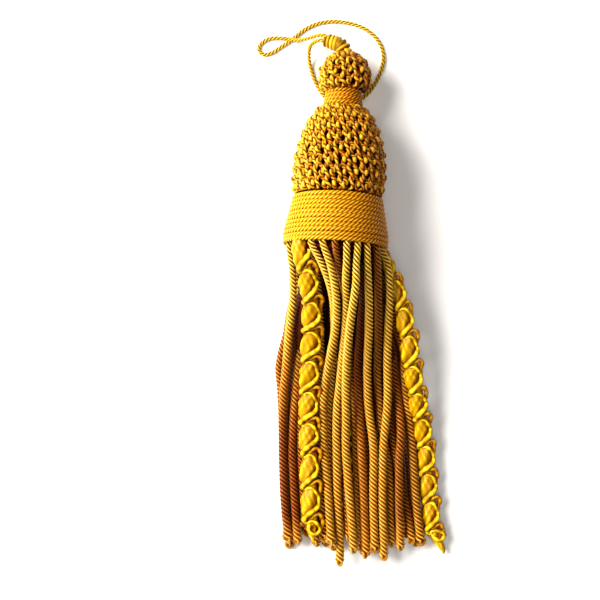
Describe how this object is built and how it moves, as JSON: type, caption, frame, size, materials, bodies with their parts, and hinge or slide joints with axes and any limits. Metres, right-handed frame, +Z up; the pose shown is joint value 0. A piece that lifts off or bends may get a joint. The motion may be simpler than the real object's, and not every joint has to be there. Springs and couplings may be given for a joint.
{
  "type": "bullion tassel",
  "caption": "Bullion tassel lying on its side: netted head and knob, cord-wound band and neck, twisted bullion fringe with scroll strands, and a doubled hanging cord.",
  "frame": {"origin": "the small flat spot under the band, where the head rests on the table", "axes": "+Z up from the table, +Y along the tassel from the fringe to the hanging cord, +X across it"},
  "size_m": [0.0677, 0.1956, 0.0371],
  "materials": {
    "band_yarn": "satin twisted rayon cord, old gold",
    "net_yarn": "knotted rayon cord, old gold with dark hollows",
    "bullion_yarn": "satin two-ply bullion yarn, old gold",
    "scroll_yarn": "soft bright yellow floss with a smooth cord over it",
    "cord_yarn": "satin three-ply rayon cord, old gold"
  },
  "bodies": {
    "root": {"band": "band_yarn", "neck_binding": "band_yarn", "dome_cover": "net_yarn", "knob_cover": "net_yarn", "top_knot": "cord_yarn", "hanging_cord": "cord_yarn", "skirt": "bullion_yarn", "scroll_left": "scroll_yarn", "scroll_right": "scroll_yarn", "scroll_under": "scroll_yarn"}
  },
  "joints": []
}
